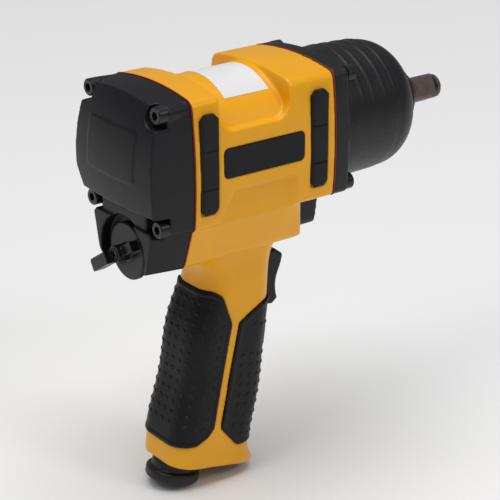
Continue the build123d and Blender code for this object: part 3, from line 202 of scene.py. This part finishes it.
# one look per material slot; bump depths in metres
LOOKS = {
    "yellow_paint": dict(
        colour=(0.88, 0.4, 0.003), roughness=0.36, tint=0.03, specular=0.3, coat=0.15,
        coat_roughness=0.2, bumps=[("noise", 900, 0.00002), ("noise", 160, 0.00004)],
    ),
    "satin_black_paint": dict(
        colour=(0.0062, 0.006, 0.0082), roughness=0.44, tint=0.12, specular=0.3,
        bumps=[("noise", 1500, 0.00002), ("noise", 220, 0.00003)],
    ),
    "textured_black_paint": dict(
        colour=(0.005, 0.0048, 0.0066), roughness=0.42, tint=0.15, specular=0.36,
        bumps=[("cells", 1300, 0.00009), ("noise", 500, 0.00005)],
    ),
    "red_gasket": dict(
        colour=(0.22, 0.018, 0.01), roughness=0.75, tint=0.15, tint_scale=300,
        bumps=[("noise", 2500, 0.00005)],
    ),
    "black_oxide_steel": dict(
        colour=(0.016, 0.016, 0.018), roughness=0.3, metallic=0.35, tint=0.2, tint_scale=300,
        bumps=[("noise", 1800, 0.00002)],
    ),
    "satin_black_steel": dict(
        colour=(0.009, 0.009, 0.01), roughness=0.4, tint=0.2, tint_scale=150, specular=0.35,
        bumps=[("noise", 1200, 0.00003)],
    ),
    "black_rubber": dict(
        colour=(0.006, 0.0054, 0.0066), roughness=0.46, tint=0.15, specular=0.24,
        rough_spread=0.08, bumps=[("noise", 1600, 0.00003), ("noise", 300, 0.00003)],
    ),
    "gloss_black": dict(
        colour=(0.004, 0.004, 0.006), roughness=0.2, tint=0.1, rough_spread=0.03, specular=0.2,
        bumps=[("noise", 260, 0.00001)],
    ),
    "label_white": dict(
        colour=(0.8, 0.79, 0.81), roughness=0.5, tint=0.02, bumps=[("noise", 700, 0.00001)],
    ),
    "grey_iron": dict(
        colour=(0.3, 0.3, 0.3), roughness=0.4, metallic=0.9, tint=0.1,
        bumps=[("turned", 3000, 0.00003)],
    ),
    "bright_steel": dict(
        colour=(0.62, 0.62, 0.63), roughness=0.25, metallic=1.0, tint=0.05,
        bumps=[("turned", 4000, 0.00001)],
    ),
    "hardened_steel": dict(
        colour=(0.42, 0.41, 0.4), roughness=0.34, metallic=1.0, tint=0.1,
        bumps=[("turned", 2500, 0.00003)],
    ),
    "phenolic_brown": dict(
        colour=(0.28, 0.16, 0.07), roughness=0.55, tint=0.2, tint_scale=900,
        bumps=[("noise", 2500, 0.00003)],
    ),
    "phosphated_steel": dict(
        colour=(0.135, 0.105, 0.092), roughness=0.46, metallic=0.75, tint=0.18, tint_scale=260,
        rough_spread=0.1, bumps=[("noise", 2200, 0.00002), ("noise", 400, 0.00002)],
    ),
    "bronze": dict(
        colour=(0.6, 0.42, 0.2), roughness=0.35, metallic=1.0, tint=0.1,
        bumps=[("turned", 3000, 0.00002)],
    ),
    "black_plastic": dict(
        colour=(0.005, 0.005, 0.006), roughness=0.36, tint=0.12, specular=0.3,
        bumps=[("noise", 1400, 0.00002), ("noise", 250, 0.00002)],
    ),
    "grey_felt": dict(
        colour=(0.4, 0.4, 0.38), roughness=0.95, tint=0.25, tint_scale=800,
        bumps=[("noise", 1500, 0.0003)],
    ),
}
MATERIALS = {slot: surface(slot, **look) for slot, look in LOOKS.items()}

for node_name, slot in slot_of.items():
    node = nodes[node_name]
    node.data.materials.clear()
    node.data.materials.append(MATERIALS[slot])


# ---- softened castings and mouldings --------------------------------------------------
def joined(piece, node_name):
    """Give piece the CAD node's body and the material of the node's slot."""
    piece.data.materials.clear()
    piece.data.materials.append(MATERIALS[slot_of[node_name]])
    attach(piece, body_of[node_name])


ZONE_FADE = 4 * MM
SMOOTH_FACTOR = 0.5


def applied(piece):
    """Apply all of the piece's modifiers to its mesh."""
    graph = bpy.context.evaluated_depsgraph_get()
    mesh = bpy.data.meshes.new_from_object(piece.evaluated_get(graph))
    piece.modifiers.clear()
    piece.data = mesh


def softened(node_name, voxel, passes, zones=()):
    """Copy of a CAD node with every edge eased.

    The copy is remeshed at an even voxel size, then smoothed; zones are extra
    (lowest corner, highest corner, passes) boxes that get rounder still.
    """
    piece = bpy.data.objects.new("soft_" + node_name, nodes[node_name].data.copy())
    bpy.context.scene.collection.objects.link(piece)
    remesh = piece.modifiers.new("remesh", "REMESH")
    remesh.mode = "VOXEL"
    remesh.voxel_size = voxel
    remesh.use_smooth_shade = True
    applied(piece)
    for number, (low, high, extra) in enumerate(zones):
        group = piece.vertex_groups.new(name=f"zone_{number}")
        for vertex in piece.data.vertices:
            inside = min(min(vertex.co[i] - low[i], high[i] - vertex.co[i]) for i in range(3))
            if inside > 0:
                group.add([vertex.index], min(inside / ZONE_FADE, 1.0), "REPLACE")
        ease = piece.modifiers.new("ease", "SMOOTH")
        ease.factor = SMOOTH_FACTOR
        ease.iterations = extra
        ease.vertex_group = group.name
    smooth = piece.modifiers.new("smooth", "SMOOTH")
    smooth.factor = SMOOTH_FACTOR
    smooth.iterations = passes
    applied(piece)
    piece.vertex_groups.clear()
    piece.data.shade_smooth()
    joined(piece, node_name)
    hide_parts(node_name)
    return piece


# boxes of the housing that are rounder than its other edges: saddle, lower flanks and foot
housing_low, housing_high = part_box("motor_housing")
plate_low, plate_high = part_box("nameplate_right")
pad_low, pad_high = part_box("bumper_rear_right")
front_pad_low, front_pad_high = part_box("bumper_front_right")

saddle_zone = (
    (pad_high[0] + 0.5 * MM, housing_low[1] - MM, plate_high[2] + 1.5 * MM),
    (front_pad_low[0] - 0.5 * MM, housing_high[1] + MM, housing_high[2] + MM),
    26,
)
flank_zone = (
    (pad_high[0] + 0.5 * MM, housing_low[1] - MM, -70 * MM),
    (front_pad_low[0] - 0.5 * MM, housing_high[1] + MM, plate_low[2] - 1.5 * MM),
    14,
)
foot_zone = (
    (housing_low[0] - 10 * MM, housing_low[1] - MM, housing_low[2] - 6 * MM),
    (housing_high[0], housing_high[1] + MM, housing_low[2] + 18 * MM),
    20,
)
softened("motor_housing", 0.65 * MM, 4, [saddle_zone, flank_zone, foot_zone])
# the other castings and mouldings: voxel size and smoothing passes
for node_name, voxel, passes in (
    ("rear_cover", 0.5 * MM, 7),
    ("hammer_case", 0.5 * MM, 4),
    ("trigger", 0.35 * MM, 5),
    ("reverse_lever", 0.3 * MM, 4),
    ("inlet_bushing", 0.4 * MM, 3),
):
    softened(node_name, voxel, passes)


# ---- moulded grips --------------------------------------------------------------------
STUD_PITCH = 5.4 * MM
STUD_BASE = 1.1 * MM
STUD_TIP = 0.5 * MM
STUD_HEIGHT = 0.42 * MM
STUD_ROOT = 0.35 * MM
STUD_MARGIN = 4.2 * MM
LIP_WIDTH = 2.6 * MM
LIP_HEIGHT = 0.4 * MM
GRIP_CENTRE = INLET + 12.5 * MM * FORWARD
GRIP_VOXEL = 0.4 * MM
GRIP_PASSES = 4
REAR_GRIP_ROWS = [24 * MM + STUD_PITCH * row for row in range(14)]
FRONT_GRIP_ROWS = [14 * MM + STUD_PITCH * row for row in range(15)]
PROBE_REACH = 60 * MM
HALF_SWEEP = 110
OUTER_FACING = 0.35
GRAZING = 0.2


def sharp_edge_points(mesh, angle=math.radians(35), step=0.8 * MM):
    """Points along the edges where two faces of the mesh meet sharply."""
    work = bmesh.new()
    work.from_mesh(mesh)
    bmesh.ops.remove_doubles(work, verts=work.verts, dist=1e-6)
    points = []
    for edge in work.edges:
        if len(edge.link_faces) == 2 and edge.calc_face_angle(0.0) > angle:
            start, end = edge.verts[0].co, edge.verts[1].co
            count = max(int((end - start).length / step), 1)
            points += [start.lerp(end, i / count) for i in range(count + 1)]
    work.free()
    return points


def nearest_tree(points):
    tree = KDTree(len(points))
    for index, point in enumerate(points):
        tree.insert(point, index)
    tree.balance()
    return tree


def add_stud(work, point, normal):
    """One low square pyramid with a blunt tip, standing on the grip's skin."""
    along = (UP_HANDLE - normal * UP_HANDLE.dot(normal)).normalized()
    across = normal.cross(along)
    rings = []
    for half, height in ((STUD_BASE, -STUD_ROOT), (STUD_BASE, 0.0), (STUD_TIP, STUD_HEIGHT)):
        rings.append([work.verts.new(point + normal * height + across * half * a + along * half * b)
                      for a, b in ((-1, -1), (1, -1), (1, 1), (-1, 1))])
    work.faces.new(rings[0][::-1])
    for lower, upper in zip(rings, rings[1:]):
        for i in range(4):
            work.faces.new((lower[i], lower[(i + 1) % 4], upper[(i + 1) % 4], upper[i]))
    work.faces.new(rings[-1])


def skin_around(tree, height, facing):
    """Points and normals of the grip's outer skin at a height, from its middle line to each side."""
    centre = GRIP_CENTRE + UP_HANDLE * height
    halves = []
    for sense in (1, -1):
        half = []
        for degree in range(HALF_SWEEP):
            turn = math.radians(degree) * sense
            outward = FORWARD * facing * math.cos(turn) + Vector((0, 1, 0)) * math.sin(turn)
            hit, normal, _, _ = tree.ray_cast(centre + outward * PROBE_REACH, -outward)
            if hit is None or normal.dot(outward) < GRAZING:
                break
            half.append((hit, normal))
        halves.append(half)
    return halves


def add_grip(node_name, facing, heights):
    """Grip with a rolled lip along its edges and rows of studs across its face."""
    border = nearest_tree(sharp_edge_points(nodes[node_name].data))
    piece = softened(node_name, GRIP_VOXEL, GRIP_PASSES)
    for vertex in piece.data.vertices:
        axis_point = GRIP_CENTRE + UP_HANDLE * (vertex.co - GRIP_CENTRE).dot(UP_HANDLE)
        outward = (vertex.co - axis_point).normalized()
        distance = border.find(vertex.co)[2]
        if vertex.normal.dot(outward) > OUTER_FACING and distance < LIP_WIDTH:
            vertex.co += vertex.normal * LIP_HEIGHT * math.sin(math.pi * distance / LIP_WIDTH)
    tree = BVHTree.FromObject(piece, bpy.context.evaluated_depsgraph_get())
    work = bmesh.new()
    for height in heights:
        for number, half in enumerate(skin_around(tree, height, facing)):
            travelled = 0.0
            next_stop = STUD_PITCH if number else 0.0
            for (last, _), (point, normal) in zip(half, half[1:]):
                travelled += (point - last).length
                if travelled >= next_stop:
                    next_stop += STUD_PITCH
                    if border.find(point)[2] > STUD_MARGIN:
                        add_stud(work, point, normal)
    mesh = bpy.data.meshes.new(node_name + "_studs")
    work.to_mesh(mesh)
    work.free()
    studs = bpy.data.objects.new(node_name + "_studs", mesh)
    bpy.context.scene.collection.objects.link(studs)
    joined(studs, node_name)


add_grip("rear_grip", -1, REAR_GRIP_ROWS)
add_grip("front_grip", 1, FRONT_GRIP_ROWS)


# ---- floor ----------------------------------------------------------------------------
FLOOR_HALF = 6.0
FLOOR_GAP = 0.2 * MM


def add_floor():
    """Wide pale flat floor just under the air inlet."""
    work = bmesh.new()
    bmesh.ops.create_grid(work, x_segments=8, y_segments=8, size=FLOOR_HALF)
    mesh = bpy.data.meshes.new("floor")
    work.to_mesh(mesh)
    work.free()
    floor = bpy.data.objects.new("floor", mesh)
    floor.location.z = cad_box[0][2] - FLOOR_GAP
    bpy.context.scene.collection.objects.link(floor)
    paper = surface("floor_paper", (0.93, 0.93, 0.93), 0.8, tint=0.01, tint_scale=3.0)
    floor.data.materials.append(paper)


add_camera()
add_floor()
add_studio()
